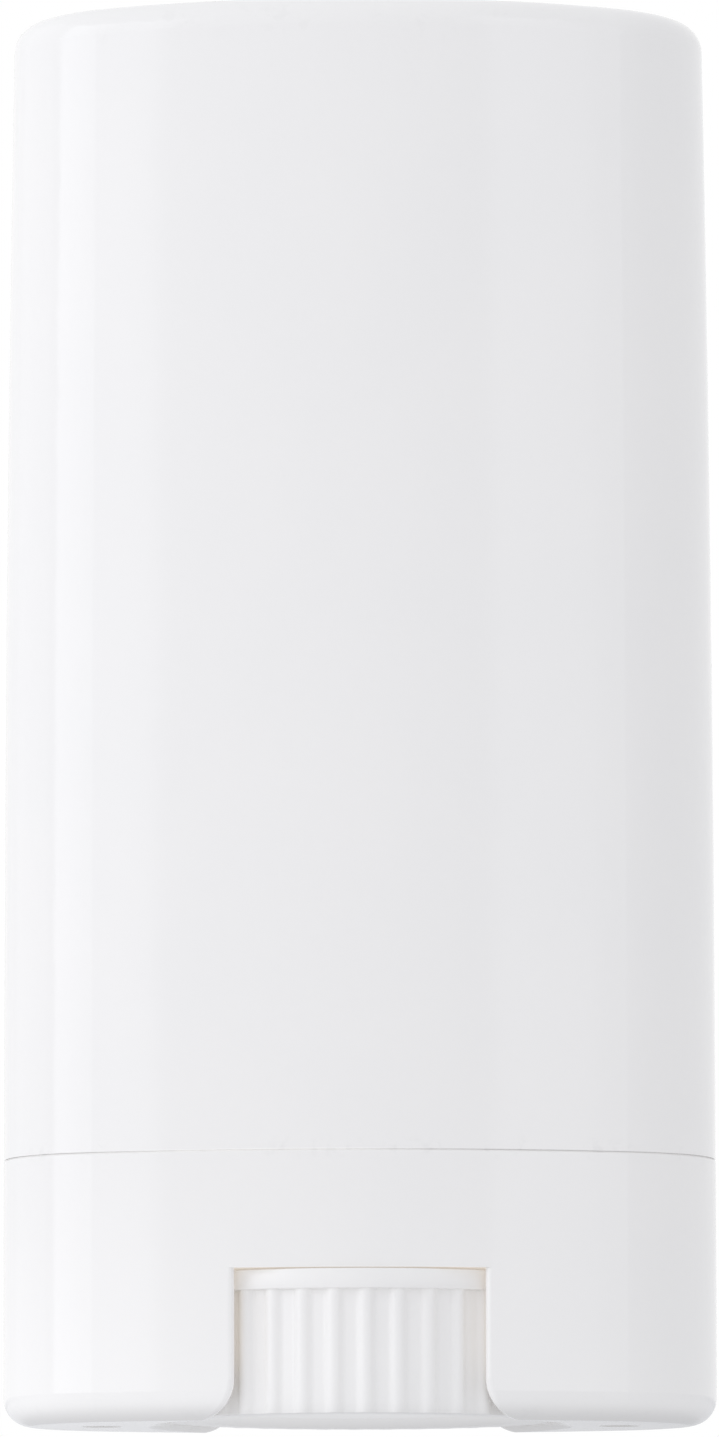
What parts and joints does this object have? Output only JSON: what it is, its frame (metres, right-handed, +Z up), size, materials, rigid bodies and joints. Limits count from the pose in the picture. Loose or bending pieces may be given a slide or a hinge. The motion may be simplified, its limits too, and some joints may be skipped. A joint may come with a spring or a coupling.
{
  "type": "sunscreen stick",
  "caption": "Flat-oval white twist-up sunscreen stick with a pull-off cap and a ribbed dial in the notched foot that winds the stick up.",
  "frame": {"origin": "on the ground plane, under the middle of the foot", "axes": "+Z up along the dial's axis, +X along the long side of the oval, -Y towards the front"},
  "size_m": [0.032, 0.0178, 0.0638],
  "materials": {
    "cap_white": "gloss",
    "barrel_white": "gloss",
    "dial_white": "satin gloss",
    "platform_natural": "satin",
    "stick_wax": "soft waxy satin"
  },
  "bodies": {
    "barrel": {"barrel": "barrel_white"},
    "dial": {"twist_dial": "dial_white"},
    "carriage": {"platform": "platform_natural", "sunscreen_stick": "stick_wax"},
    "cap": {"cap": "cap_white"}
  },
  "joints": [
    {"name": "dial_spin", "type": "hinge", "parent": "barrel", "child": "dial", "pos_m": [0, 0, 0.0036], "axis": [0, 0, 1], "range_deg": [0, 3600]},
    {"name": "platform_rise", "type": "slide", "parent": "barrel", "child": "carriage", "axis": [0, 0, 1], "range_m": [0, 0.036]},
    {"name": "cap_lift", "type": "slide", "parent": "carriage", "child": "cap", "axis": [0, 0, 1], "range_m": [0, 0.055]}
  ],
  "couplings": [
    {"joint": "dial_spin", "follows": "platform_rise", "rad_per_m": 1745.3}
  ]
}
